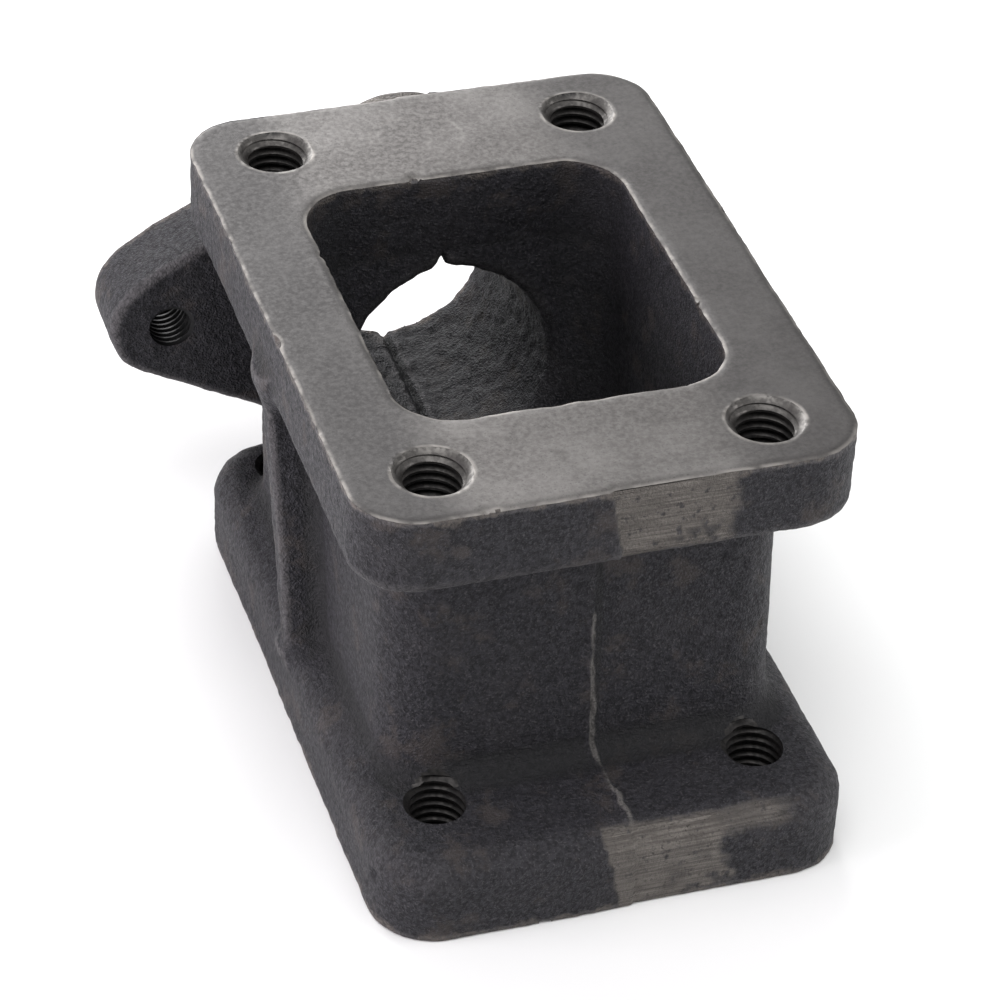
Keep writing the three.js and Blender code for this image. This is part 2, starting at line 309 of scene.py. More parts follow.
# ---- meshing ------------------------------------------------------------------------------------------
def surface_nets(field, low, step):
    """Vertices and quads of the field's zero surface, by one vertex in each cell that it crosses."""
    inside = field < 0
    cells_in = np.zeros(np.array(field.shape) - 1, np.int8)
    corners = [(i, j, k) for i in (0, 1) for j in (0, 1) for k in (0, 1)]
    for i, j, k in corners:
        nx, ny, nz = cells_in.shape
        cells_in += inside[i : i + nx, j : j + ny, k : k + nz]
    crossed = (cells_in > 0) & (cells_in < len(corners))
    cells = np.argwhere(crossed)
    number = np.full(crossed.shape, -1, np.int64)
    number[crossed] = np.arange(len(cells))
    total, count = np.zeros((len(cells), 3)), np.zeros(len(cells))
    for start in corners:
        for axis in range(3):
            if start[axis]:
                continue
            end = list(start)
            end[axis] = 1
            a = field[tuple((cells + start).T)]
            b = field[tuple((cells + end).T)]
            cut = (a < 0) != (b < 0)
            share = np.where(cut, a / np.where(cut, a - b, 1), 0)
            point = np.array(start) + share[:, None] * (np.array(end) - start)
            total += np.where(cut[:, None], point, 0)
            count += cut
    vertices = low + step * (cells + total / count[:, None])
    quads = []
    for axis in range(3):
        u, v = (axis + 1) % 3, (axis + 2) % 3
        first = np.moveaxis(inside, axis, 0)
        change = np.moveaxis(first[:-1] != first[1:], 0, axis)
        edges = np.argwhere(change)
        size = np.array(number.shape)
        keep = (edges[:, u] > 0) & (edges[:, v] > 0) & (edges[:, u] < size[u]) & (edges[:, v] < size[v])
        edges = edges[keep]
        starts_in = inside[tuple(edges.T)]
        ring = []
        for du, dv in ((-1, -1), (0, -1), (0, 0), (-1, 0)):
            cell = edges.copy()
            cell[:, u] += du
            cell[:, v] += dv
            ring.append(number[tuple(cell.T)])
        ring = np.stack(ring, 1)
        ring[~starts_in] = ring[~starts_in][:, ::-1]
        quads.append(ring)
    return vertices, np.concatenate(quads)


def slopes(points):
    """The casting's distance and unit outward direction at each point."""
    reach = 0.05
    here = casting(*points.T)
    gradient = np.empty_like(points)
    for axis in range(3):
        nudge = np.zeros(3)
        nudge[axis] = reach
        gradient[:, axis] = (casting(*(points + nudge).T) - here) / reach
    gradient /= np.maximum(np.linalg.norm(gradient, axis=1, keepdims=True), 1e-6)
    return here, gradient


def rough_casting():
    low = np.array(cad_low) / MM - GRID_MARGIN
    high = np.array(cad_high) / MM + GRID_MARGIN
    axes = [np.arange(low[i], high[i], VOXEL, dtype=np.float32) for i in range(3)]
    x, y, z = np.meshgrid(*axes, indexing="ij", sparse=True)
    vertices, quads = surface_nets(casting(x, y, z), low, VOXEL)
    for _ in range(2):
        distance, outward = slopes(vertices)
        vertices -= np.clip(distance, -VOXEL, VOXEL)[:, None] * outward
    _, outward = slopes(vertices)
    vertices += outward * relief(vertices, outward)[:, None]
    return vertices, quads


# ---- the casting's relief -----------------------------------------------------------------------------
# Where the flash was ground off each flange's front side, in x, with a ragged right end.
TURBINE_PATCH = 17.6  # from the mould's joint to here
MANIFOLD_PATCH = (-2.4, 16.8)
MANIFOLD_STRIP = 27.5  # a thin strip along the foot's upper edge goes on to here
RAGGED = 1.6
PITTED_X = (5, 11)  # the patches' right ends are eaten by pits, from none to all
PATCH_SLANT = 0.18


def turbine_patch(points, wobble):
    x, y, z = points.T
    front = ramp(-y, -TURBINE_LOW[1] - 2.2, -TURBINE_LOW[1] - 1.2)
    share = ramp(x + 0.15 * wobble, parting(y, z), parting(y, z) + 0.3)
    share = share * ramp(TURBINE_PATCH - x + 1.3 * wobble, 0, RAGGED) * front
    share = share * ramp(z - wobble, TURBINE_UNDER + 0.2, TURBINE_UNDER + 1.6)
    eaten = ramp(grain(points, 1.0, 13), -0.1, 0.3) * ramp(x + wobble, PITTED_X[0] + 1, PITTED_X[1])
    eaten = eaten * ramp(-z, -62, -58)
    return share * (1 - 0.85 * eaten)


def manifold_patch(points, wobble):
    x, y, z = points.T
    front = ramp(-y, -MANIFOLD_LOW[1] - 4.2, -MANIFOLD_LOW[1] - 2.6)
    left = MANIFOLD_PATCH[0] - PATCH_SLANT * (z - AXIS_Z / 4)
    share = ramp(x + 0.7 * wobble, left, left + 0.5)
    share = share * ramp(MANIFOLD_PATCH[1] - x + 2.2 * wobble, 0, RAGGED)
    eaten = ramp(grain(points, 1.3, 14), 0.0, 0.4) * ramp(x + wobble, *PITTED_X) * ramp(-z, -9, -4)
    share = share * (1 - 0.75 * eaten)
    strip = ramp(MANIFOLD_STRIP - x + 2 * wobble, 0, 6)
    strip = strip * ramp(z + 0.7 * wobble, MANIFOLD_UPPER - 4.2, MANIFOLD_UPPER - 2.4)
    share = np.maximum(share, 0.8 * strip * (x > MANIFOLD_PATCH[1] - 3)) * front
    return share * ramp(front + 0.5 * wobble, 0.2, 0.6)


def crown_patch(points, wobble):
    x, y, z = points.T
    share = ramp(z + 0.5 * wobble, GATE_HIGH[2] - 3, GATE_HIGH[2] - 1.4)
    share = share * ramp(y, GATE_LOW[1], GATE_LOW[1] + 1)
    return share * (z < TURBINE_UNDER + 11) * ramp(10 - np.abs(x) + wobble, 0, 2)


def ground_share(points):
    """From 0 to 1, where the casting was ground: both flanges' front sides and the wastegate's crown."""
    wobble = 0.9 * grain(points, 2.5, 11) + 0.35 * grain(points, 0.7, 12)
    patches = turbine_patch(points, wobble) + manifold_patch(points, wobble)
    return np.clip(patches + 0.8 * crown_patch(points, wobble), 0, 1)


def flash_share(points):
    """From 0 to 1, where iron ran into the mould's joint."""
    x, y, z = points.T
    along = np.stack([np.zeros_like(x), y, z], 1)
    wander = parting(y, z) + 0.40 * grain(along, 8.0, 6) + 0.24 * grain(along, 2.0, 7)
    ridge = np.exp(-(((x - wander) / FLASH_WIDTH) ** 2))
    broken = np.clip(0.95 + 0.45 * grain(along, 3.5, 8), 0, 1)
    front = ramp(-y, 20, 30) * ramp(-z, -FLASH_TOP - 1.5, -FLASH_TOP + 1.5)
    return ridge * broken * np.maximum(front, FLASH_ELSEWHERE)


BORE_SKIN_Y = (26, 32)  # the bore's rougher skin begins between these


def relief(points, outward):
    """How far the cast skin stands out from the smooth one."""
    x, y, z = points.T
    waves = 0.10 * grain(points, 17, 1) + 0.05 * grain(points, 7, 2)
    sand = 0.075 * grain(points, 2.4, 3) + 0.065 * grain(points, 1.2, 4) + 0.05 * grain(points, 0.8, 5)
    smooth = ground_share(points)
    in_bore = ramp(BORE_RADIUS + 3 - across(x, z - AXIS_Z), 0, 1) * ramp(y, *BORE_SKIN_Y)
    crumbs = 0.22 * np.clip(grain(points, 1.9, 9), -1, 0.4) + 0.14 * grain(points, 1.1, 10)
    rough = (waves + sand) * (1 - smooth) - 0.12 * smooth + crumbs * in_bore
    outside = np.clip(cores(x, y, z), 0, 3) / 3  # no flash inside the gas way
    facing = np.clip(1 - np.abs(outward[:, 0]) * 2, 0, 1)
    flash = FLASH_HEIGHT * flash_share(points) * outside * facing * (1 - smooth)
    return rough + flash - pits(points)


PIT_COUNT = 90
PIT_RADII = (0.35, 0.95)
PIT_DEPTH = 0.55  # as a share of the radius
# Larger holes on the foot's left side: the middle and the radius of each.
BLOWHOLES = [((-36.2, -28.5, 12.0), 1.5), ((-36.0, -54.5, 8.5), 1.1), ((-35.6, -52.0, 4.6), 1.0)]


def pits(points):
    """How deep the small sand holes scattered over the skin are, and the blowholes."""
    random = np.random.default_rng(21)
    chosen = points[random.integers(0, len(points), PIT_COUNT)]
    radii = random.uniform(*PIT_RADII, PIT_COUNT)
    depth = np.zeros(len(points))
    for centre, radius in list(zip(chosen, radii)) + BLOWHOLES:
        near = np.flatnonzero(np.abs(points - centre).max(1) < 2 * radius)
        gap = np.linalg.norm(points[near] - centre, axis=1)
        depth[near] += PIT_DEPTH * radius * np.exp(-((gap / radius) ** 2) * 1.6)
    return depth


# ---- Blender objects ----------------------------------------------------------------------------------
def mesh_object(name, vertices, faces):
    mesh = bpy.data.meshes.new(name)
    mesh.from_pydata((np.asarray(vertices) * MM).tolist(), [], [list(face) for face in faces])
    mesh.update()
    made = bpy.data.objects.new(name, mesh)
    bpy.context.scene.collection.objects.link(made)
    return made


def evaluated_copy(source, name):
    graph = bpy.context.evaluated_depsgraph_get()
    mesh = bpy.data.meshes.new_from_object(source.evaluated_get(graph), depsgraph=graph)
    mesh.name = name
    made = bpy.data.objects.new(name, mesh)
    bpy.context.scene.collection.objects.link(made)
    return made


def combine(source, tool, operation, name):
    """A new object: source cut by, joined to or kept within tool."""
    modifier = source.modifiers.new("combine", "BOOLEAN")
    modifier.solver = "MANIFOLD"
    modifier.operation = operation
    modifier.object = tool
    made = evaluated_copy(source, name)
    source.modifiers.remove(modifier)
    return made


def discard(*objects):
    for o in objects:
        mesh = o.data
        bpy.data.objects.remove(o)
        bpy.data.meshes.remove(mesh)


def box_faces(low, high):
    x, y, z = zip(low, high)
    corners = [(x[i], y[j], z[k]) for i in (0, 1) for j in (0, 1) for k in (0, 1)]
    faces = [(0, 1, 3, 2), (4, 6, 7, 5), (0, 4, 5, 1), (2, 3, 7, 6), (0, 2, 6, 4), (1, 5, 7, 3)]
    return corners, faces


def gridded_box(low, high):
    """A box whose faces are a grid of cells about FACE_CELL wide."""
    counts = [max(1, round((b - a) / FACE_CELL)) for a, b in zip(low, high)]
    vertices, faces, number = [], [], {}

    def corner(place):
        if place not in number:
            number[place] = len(vertices)
            vertices.append([a + (b - a) * i / n for a, b, i, n in zip(low, high, place, counts)])
        return number[place]

    for axis in range(3):
        u, v = (axis + 1) % 3, (axis + 2) % 3
        for end in (0, counts[axis]):
            for i in range(counts[u]):
                for j in range(counts[v]):
                    ring = []
                    for di, dj in ((0, 0), (1, 0), (1, 1), (0, 1)):
                        place = [0, 0, 0]
                        place[axis], place[u], place[v] = end, i + di, j + dj
                        ring.append(corner(tuple(place)))
                    faces.append(ring if end else ring[::-1])
    return vertices, faces


def revolved(profile, steps):
    """A closed solid of revolution about Z from (radius, z) points, which start and end on the axis."""
    vertices = [(0, 0, profile[0][1])]
    rings = profile[1:-1]
    for radius, z in rings:
        for i in range(steps):
            turn = 2 * math.pi * i / steps
            vertices.append((radius * math.cos(turn), radius * math.sin(turn), z))
    vertices.append((0, 0, profile[-1][1]))
    last = len(vertices) - 1
    faces = []
    for i in range(steps):
        following = (i + 1) % steps
        faces.append((0, 1 + following, 1 + i))
        for ring in range(len(rings) - 1):
            a, b = 1 + ring * steps, 1 + (ring + 1) * steps
            faces.append((a + i, a + following, b + following, b + i))
        top = 1 + (len(rings) - 1) * steps
        faces.append((top + i, top + following, last))
    return vertices, faces


THREAD_STEPS = 40
THREAD_ROWS = [(0.0, 0), (0.13, 0), (0.44, 1), (0.56, 1), (0.87, 0)]  # share of the pitch, 1 on the crest


def thread_rod(minor, major, pitch, length):
    """A threaded rod along Z from 0 to length, whose grid of faces follows the helix."""
    turns = int(math.ceil(length / pitch)) + 2
    count = len(THREAD_ROWS)
    vertices = []
    for level in range(turns * count + 1):
        share, high = THREAD_ROWS[level % count]
        radius = (major if high else minor) / 2
        for i in range(THREAD_STEPS):
            turn = 2 * math.pi * i / THREAD_STEPS
            z = (level // count + share + i / THREAD_STEPS) * pitch - pitch
            vertices.append((radius * math.cos(turn), radius * math.sin(turn), z))
    levels = turns * count + 1
    faces = []
    for level in range(levels - 1):
        for i in range(THREAD_STEPS - 1):
            a = level * THREAD_STEPS + i
            faces.append((a, a + 1, a + 1 + THREAD_STEPS, a + THREAD_STEPS))
    for level in range(levels - 1 - count):
        a = level * THREAD_STEPS + THREAD_STEPS - 1
        b = (level + count) * THREAD_STEPS
        faces.append((a, b, b + THREAD_STEPS, a + THREAD_STEPS))
    bottom, top = len(vertices), len(vertices) + 1
    vertices += [(0, 0, -2 * pitch), (0, 0, (turns + 1) * pitch)]
    low_loop = list(range(THREAD_STEPS)) + [level * THREAD_STEPS for level in range(count, 0, -1)]
    high_loop = [(levels - 1) * THREAD_STEPS + i for i in range(THREAD_STEPS)]
    high_loop += [(levels - k) * THREAD_STEPS - 1 for k in range(1, count + 1)]
    for a, b in zip(low_loop, low_loop[1:] + low_loop[:1]):
        faces.append((b, a, bottom))
    for a, b in zip(high_loop, high_loop[1:] + high_loop[:1]):
        faces.append((a, b, top))
    return vertices, faces


def placed(shape, matrix):
    vertices, faces = shape
    return [tuple(matrix @ Vector(v)) for v in vertices], faces


def gathered(shapes):
    vertices, faces = [], []
    for more_vertices, more_faces in shapes:
        start = len(vertices)
        vertices += more_vertices
        faces += [tuple(start + i for i in face) for face in more_faces]
    return vertices, faces


# ---- machining ----------------------------------------------------------------------------------------
HOLE_DEPTH = 15.5
FOOT_HOLE_DEPTH = 18.5  # the foot's front holes run on through its fillet
CHAMFER_STEPS = 64
EDGE_BREAK = 0.9  # the rounding at a machined face's rim reaches this far in, and goes this deep
EDGE_DROP = 0.28

# Dents in the machined faces, most of them at an edge: the middle and the radius of each.
KNOCKS = [
    ((-37.9, -5.0, 68.9), 1.3),
    ((-37.8, 22.0, 69.0), 0.9),
    ((-20.0, -52.0, 69.0), 0.9),
    ((30.5, -52.1, 69.1), 1.0),
    ((37.9, 12.0, 69.1), 1.0),
    ((-6.0, 30.7, 69.0), 1.2),
    ((24.7, -10.0, 69.1), 0.9),
    ((-30.0, 62.6, 47.5), 0.9),
    ((36.5, 10.0, -0.5), 1.1),
    ((-12.0, -62.6, -0.4), 1.2),
]
KNOCK_STRETCH = 1.6


def tapped_hole(minor, major, pitch, chamfer_across, depth):
    """Cutters for a hole along -Z from a face at z = 0: its threaded rod and its countersink."""
    rod = thread_rod(minor, major, pitch, depth + 2 * pitch)
    rod = placed(rod, Matrix.Translation((0, 0, -depth)))
    past = 0.6
    mouth, root = chamfer_across / 2, minor / 2 - 0.1
    profile = [(0, root - mouth), (root, root - mouth), (mouth + past, past), (0, past)]
    return rod, revolved(profile, CHAMFER_STEPS)


def hole_places():
    """The matrix and the kind of each tapped hole: its own +Z runs out of its mouth."""
    places = []
    for side_x in (-1, 1):
        for side_y in (-1, 1):
            x = side_x * BOLT_SPACING_X / 2
            y = TURBINE_BOLT_Y + side_y * BOLT_SPACING_Y / 2
            places.append((Matrix.Translation((x, y, TOP_FACE)), "gas"))
            y = MANIFOLD_BOLT_Y + side_y * BOLT_SPACING_Y / 2
            turned = Matrix.Rotation(math.pi, 4, "X")
            kind = "foot" if side_y < 0 else "gas"
            places.append((Matrix.Translation((x, y, BOTTOM_FACE)) @ turned, kind))
        x = side_x * GATE_BOLT_SPACING / 2
        turned = Matrix.Rotation(-math.pi / 2, 4, "X")
        places.append((Matrix.Translation((x, GATE_FACE, AXIS_Z)) @ turned, "gate"))
    return places


def machined_casting():
    rough = mesh_object("rough", *rough_casting())
    corner, opposite = (-CUT_REACH, -CUT_REACH, BOTTOM_FACE), (CUT_REACH, GATE_FACE, TOP_FACE)
    space = mesh_object("space", *gridded_box(corner, opposite))
    faced = combine(rough, space, "INTERSECT", "faced")
    discard(rough, space)
    gas = (THREAD_MINOR, THREAD_MAJOR, THREAD_PITCH, CHAMFER_ACROSS)
    gate = (GATE_THREAD_MINOR, GATE_THREAD_MAJOR, GATE_THREAD_PITCH, GATE_CHAMFER_ACROSS)
    kinds = {
        "gas": tapped_hole(*gas, HOLE_DEPTH),
        "foot": tapped_hole(*gas, FOOT_HOLE_DEPTH),
        "gate": tapped_hole(*gate, HOLE_DEPTH),
    }
    rods, sinks = [
        mesh_object(name, *gathered(placed(kinds[kind][which], matrix) for matrix, kind in hole_places()))
        for which, name in enumerate(("rods", "sinks"))
    ]
    drilled = combine(faced, rods, "DIFFERENCE", "drilled")
    sunk = combine(drilled, sinks, "DIFFERENCE", "sunk")
    knocks = mesh_object("knocks", *gathered(knock(*place) for place in KNOCKS))
    made = combine(sunk, knocks, "DIFFERENCE", "machined")
    discard(faced, rods, sinks, drilled, sunk, knocks)
    break_edges(made.data)
    return made


def knock(centre, radius):
    """A ball, longer along Y, that leaves a dent where it meets the casting."""
    rings, steps = 8, 16
    arc = [math.pi * i / rings for i in range(rings + 1)]
    profile = [(radius * math.sin(a), -radius * math.cos(a)) for a in arc]
    ball = revolved(profile, steps)
    return placed(ball, Matrix.Translation(centre) @ Matrix.Diagonal((1, KNOCK_STRETCH, 1, 1)))


def break_edges(mesh):
    """Rounds the machined faces off a little at their rims."""
    places = read(mesh.vertices, "co", 3).astype(float) / MM
    distance = rim_distance(mesh, places, face_kinds(mesh))
    near = 0.02
    drop = EDGE_DROP * (1 - np.clip(distance / EDGE_BREAK, 0, 1)) ** 2
    drop = drop * (1 + 0.6 * grain(places, 3.0, 31))
    for matrix, _ in hole_places():
        away = np.linalg.norm(places - np.array(matrix.translation), axis=1)
        drop *= ramp(away, CHAMFER_ACROSS / 2, CHAMFER_ACROSS / 2 + 1.5)
    top, bottom = places[:, 2] > TOP_FACE - near, places[:, 2] < BOTTOM_FACE + near
    gate = places[:, 1] > GATE_FACE - near
    places[:, 2] -= drop * top
    places[:, 2] += drop * bottom
    places[:, 1] -= drop * gate
    mesh.vertices.foreach_set("co", (places * MM).astype(np.float32).ravel())
    mesh.update()


# ---- zones --------------------------------------------------------------------------------------------
FAR = 100.0
SEAM = 1.0  # the seams run this far past the faces that they follow, across the fillets
LOW_SEAM = MANIFOLD_UPPER + SEAM
HIGH_SEAM = TURBINE_UNDER - SEAM
NECK_SEAM = NECK_LOW[1] + SEAM
GATE_SEAM = GATE_LOW[1] - SEAM
BACK_SEAM = TURBINE_HIGH[1] + SEAM
SIDE_SEAM = PORT_HALF_X - SEAM
RIB_SEAM = RIB_ROOT_X + 2.2  # clear of the flange fillets beside the rib
RIB_REACH = 9.0  # the rib's zone runs this far past the two ends of the leaning rib
RIB_FRONT = MANIFOLD_BOLT_Y - RIB_REACH
RIB_BACK = TURBINE_BOLT_Y + RIB_REACH

# Each zone in turn is taken out of what is left of the casting, and the last is the rest.
ZONES = [
    ("turbine_flange", (-FAR, -FAR, HIGH_SEAM), (FAR, BACK_SEAM, FAR)),
    ("manifold_flange", (-FAR, -FAR, -FAR), (FAR, GATE_SEAM, LOW_SEAM)),
    ("wastegate_flange", (-FAR, GATE_SEAM, -FAR), (FAR, FAR, FAR)),
    ("wastegate_neck", (-FAR, NECK_SEAM, -FAR), (FAR, FAR, FAR)),
    ("left_rib", (-FAR, RIB_FRONT, -FAR), (-RIB_SEAM, RIB_BACK, FAR)),
    ("right_rib", (RIB_SEAM, RIB_FRONT, -FAR), (FAR, RIB_BACK, FAR)),
    ("duct_left_wall", (-FAR, -FAR, -FAR), (-SIDE_SEAM, FAR, FAR)),
    ("duct_right_wall", (SIDE_SEAM, -FAR, -FAR), (FAR, FAR, FAR)),
    ("duct_front_wall", (-FAR, -FAR, -FAR), (FAR, DUCT_MIDDLE, FAR)),
]
LAST_ZONE = "duct_back_wall"


def split(whole):
    pieces = {}
    for node, low, high in ZONES:
        block = mesh_object("block", *box_faces(low, high))
        pieces[node] = combine(whole, block, "INTERSECT", node)
        rest = combine(whole, block, "DIFFERENCE", "rest")
        discard(whole, block)
        whole = rest
    whole.name = LAST_ZONE
    pieces[LAST_ZONE] = whole
    return pieces


# ---- faces, wear and painted light --------------------------------------------------------------------
CAST, FACED, TAPPED = 0, 1, 2
FACING = 0.8  # a machined face's normal points this much along its axis
COUNTERSINK_DEPTH = 2.0
RIM_REACH = 6.0
BEND_REACH = 1.2
SHARP_ANGLE = math.radians(52)


def read(collection, name, width, kind=np.float32):
    values = np.empty(len(collection) * width, kind)
    collection.foreach_get(name, values)
    return values.reshape(-1, width) if width > 1 else values


def face_kinds(mesh):
    """Which faces are cast skin, which are faced flat, and which line a tapped hole."""
    centres = read(mesh.polygons, "center", 3) / MM
    normals = read(mesh.polygons, "normal", 3)
    near = EDGE_DROP * 1.2
    kinds = np.full(len(centres), CAST)
    faced = (centres[:, 2] > TOP_FACE - near) & (normals[:, 2] > FACING)
    faced |= (centres[:, 2] < BOTTOM_FACE + near) & (normals[:, 2] < -FACING)
    faced |= (centres[:, 1] > GATE_FACE - near) & (normals[:, 1] > FACING)
    kinds[faced] = FACED
    for matrix, kind in hole_places():
        inverse = np.array(matrix.inverted())
        local = centres @ inverse[:3, :3].T + inverse[:3, 3]
        turned = normals @ inverse[:3, :3].T
        radius = across(local[:, 0], local[:, 1])
        major, mouth = THREAD_MAJOR, CHAMFER_ACROSS
        if kind == "gate":
            major, mouth = GATE_THREAD_MAJOR, GATE_CHAMFER_ACROSS
        inward = -(local[:, 0] * turned[:, 0] + local[:, 1] * turned[:, 1]) / np.maximum(radius, 0.1)
        bored = (radius < major / 2 + 0.02) & (local[:, 2] > -FOOT_HOLE_DEPTH) & (inward > 0.3)
        sunk = (radius < mouth / 2 + 0.05) & (local[:, 2] > -COUNTERSINK_DEPTH) & (inward > 0.1)
        kinds[(bored | sunk) & (kinds == CAST)] = TAPPED
    return kinds


def rim_distance(mesh, places, kinds):
    """How far each vertex is from the nearest edge of a machined face, at most RIM_REACH."""
    corners = read(mesh.loops, "vertex_index", 1, np.int32)
    totals = read(mesh.polygons, "loop_total", 1, np.int32)
    marks = np.zeros(len(places), np.int64)
    np.bitwise_or.at(marks, corners, np.repeat(1 << kinds, totals))
    faced = marks & (1 << FACED) > 0
    rim = np.flatnonzero(faced & (marks != 1 << FACED))
    distance = np.full(len(places), RIM_REACH)
    if not len(rim):
        return distance
    tree = KDTree(len(rim))
    for i, vertex in enumerate(rim):
        tree.insert(places[vertex], i)
    tree.balance()
    close = places[:, 2] > TOP_FACE - RIM_REACH
    close |= places[:, 2] < BOTTOM_FACE + RIM_REACH
    close |= places[:, 1] > GATE_FACE - RIM_REACH
    for vertex in np.flatnonzero(close | faced):
        distance[vertex] = min(RIM_REACH, tree.find(places[vertex])[2])
    return distance


def faced_casting(points):
    x, y, z = points.T
    field = np.maximum(casting(x, y, z), y - GATE_FACE)
    return np.maximum(field, np.abs(z - AXIS_Z) - (TOP_FACE - AXIS_Z))


def bend(points):
    """How sharply the surface turns: above 0 on outer edges and below 0 in corners."""
    total = -6 * faced_casting(points)
    for axis in range(3):
        for side in (-BEND_REACH, BEND_REACH):
            nudge = np.zeros(3)
            nudge[axis] = side
            total += faced_casting(points + nudge)
    return total / BEND_REACH**2


def store(mesh, name, values):
    mesh.attributes.new(name, "FLOAT", "POINT").data.foreach_set("value", np.asarray(values, np.float32))


def dress(piece, materials):
    """Gives a piece its materials by face and the values that its wear, painted shade and painted
    highlights read.
    """
    mesh = piece.data
    places = read(mesh.vertices, "co", 3).astype(float) / MM
    kinds = face_kinds(mesh)
    store(mesh, "rim", rim_distance(mesh, places, kinds))
    store(mesh, "bend", bend(places))
    store(mesh, "ground", ground_share(places))
    store(mesh, "flash", flash_share(places))
    mesh.materials.clear()
    for material in materials:
        mesh.materials.append(material)
    mesh.polygons.foreach_set("material_index", kinds.astype(np.int32))
    mesh.shade_smooth()
    mesh.set_sharp_from_angle(angle=SHARP_ANGLE)


# ---- materials ----------------------------------------------------------------------------------------
class Shader:
    """A procedural material over the part's own place, with sizes in millimetres."""

    def __init__(self, name):
        self.material = bpy.data.materials.new(name)
        self.material.use_nodes = True
        self.tree = self.material.node_tree
        self.surface = self.tree.nodes["Principled BSDF"]
        self.place = self.node("ShaderNodeTexCoord").outputs["Object"]
        self.x, self.y, _ = self.node("ShaderNodeSeparateXYZ", None, Vector=self.place).outputs

    def node(self, kind, settings=None, **inputs):
        """A new node. An input is set by its name, or by its number after an underscore."""
        made = self.tree.nodes.new(kind)
        for name, value in (settings or {}).items():
            setattr(made, name, value)
        for name, value in inputs.items():
            self.put(made.inputs[int(name[1:]) if name[0] == "_" else name], value)
        return made

    def put(self, socket, value):
        if isinstance(value, bpy.types.NodeSocket):
            self.tree.links.new(value, socket)
        else:
            socket.default_value = value

    def maths(self, operation, a, b=0.0):
        return self.node("ShaderNodeMath", {"operation": operation}, _0=a, _1=b).outputs[0]

    def attribute(self, name):
        return self.node("ShaderNodeAttribute", {"attribute_name": name}).outputs["Fac"]

    def stretched(self, scale, turn):
        made = self.node("ShaderNodeMapping", None, Vector=self.place, Scale=scale, Rotation=turn)
        return made.outputs[0]

    def noise(self, size, detail=2.0, rough=0.55, place=None):
        """Noise from about 0.3 to 0.7 with features of that size in millimetres."""
        inputs = {"Scale": 1 / (size * MM), "Detail": detail, "Roughness": rough}
        made = self.node("ShaderNodeTexNoise", None, Vector=place or self.place, **inputs)
        return made.outputs[0]

    def ramp(self, value, low, high, start=0.0, end=1.0):
        """Value from low to high becomes start to end, and stays there outside."""
        made = self.node("ShaderNodeMapRange", {"interpolation_type": "SMOOTHSTEP"}, Value=value)
        for name, number in (("From Min", low), ("From Max", high), ("To Min", start), ("To Max", end)):
            self.put(made.inputs[name], number)
        return made.outputs[0]

    def blend(self, share, a, b):
        """Colour a turning to colour b by the share."""
        made = self.node("ShaderNodeMix", {"data_type": "RGBA"})
        self.put(made.inputs[0], share)
        for socket, value in ((made.inputs[6], a), (made.inputs[7], b)):
            self.put(socket, (*value, 1) if isinstance(value, tuple) else value)
        return made.outputs[2]

    def distance(self, centre):
        """How far the surface is from that place, in metres."""
        made = self.node("ShaderNodeVectorMath", {"operation": "DISTANCE"}, _0=self.place, _1=centre)
        return made.outputs["Value"]

    def bump(self, height, depth, normal=None):
        """A height from 0 to 1 as relief that many millimetres deep."""
        inputs = {"Height": height, "Distance": depth * MM, "Strength": 1.0}
        if normal:
            inputs["Normal"] = normal
        return self.node("ShaderNodeBump", None, **inputs).outputs[0]

    def finish(self, **inputs):
        for name, value in inputs.items():
            self.put(self.surface.inputs[name.replace("_", " ")], value)
        return self.material


# Colours of the cast skin, from its pores to its places of wear, with painted shade in its corners and
# painted highlights along the machined faces' rims.
SKIN_DARK, SKIN_LIGHT = (0.0085, 0.0082, 0.0105), (0.0265, 0.0255, 0.0310)
DUST, RUST, SAND_GLINT = (0.036, 0.033, 0.0360), (0.052, 0.043, 0.040), (0.080, 0.076, 0.082)
WORN_EDGE, CORNER_PAINTED_SHADE = (0.115, 0.109, 0.112), (0.012, 0.012, 0.013)
BARE_RIM_AND_HIGHLIGHT, BARE_FLASH = (0.16, 0.142, 0.128), (0.15, 0.142, 0.135)
GROUND_DARK, GROUND_LIGHT = (0.095, 0.086, 0.080), (0.175, 0.160, 0.147)
GROUND_SCRATCH, GROUND_STAIN, GROUND_PIT = (0.24, 0.223, 0.205), (0.085, 0.078, 0.072), (0.03, 0.028, 0.026)

# Colours of the machined faces and the threads, with painted shade on the faces' sides and in the holes,
# and painted highlights at their rims.
FACE_DARK, FACE_LIGHT, FACE_CLOUD = (0.088, 0.082, 0.079), (0.125, 0.118, 0.114), (0.165, 0.157, 0.152)
FACE_FLECK, FACE_STAIN, FACE_PAINTED_SHADE = (0.05, 0.047, 0.045), (0.06, 0.056, 0.053), (0.034, 0.032, 0.033)
FACE_RUBBED, FACE_RIM_AND_HIGHLIGHT = (0.22, 0.21, 0.20), (0.33, 0.31, 0.29)
THREAD_DARK, THREAD_LIGHT = (0.022, 0.021, 0.021), (0.045, 0.042, 0.041)
LIT_MOUTH_DARK, LIT_MOUTH_LIGHT = (0.080, 0.075, 0.072), (0.125, 0.118, 0.112)
GATE_THREAD_SHADE, THREAD_RIM_AND_HIGHLIGHT = (0.010, 0.010, 0.011), (0.22, 0.21, 0.20)

# The painted shade on the machined faces is centred on this x.
SHADE_MIDDLE = -3.0
RUBBED_RINGS = [((-4.6, 43.6), 4.8), ((-1.6, 42.6), 6.6)]  # faint, on the top face: middle and radius


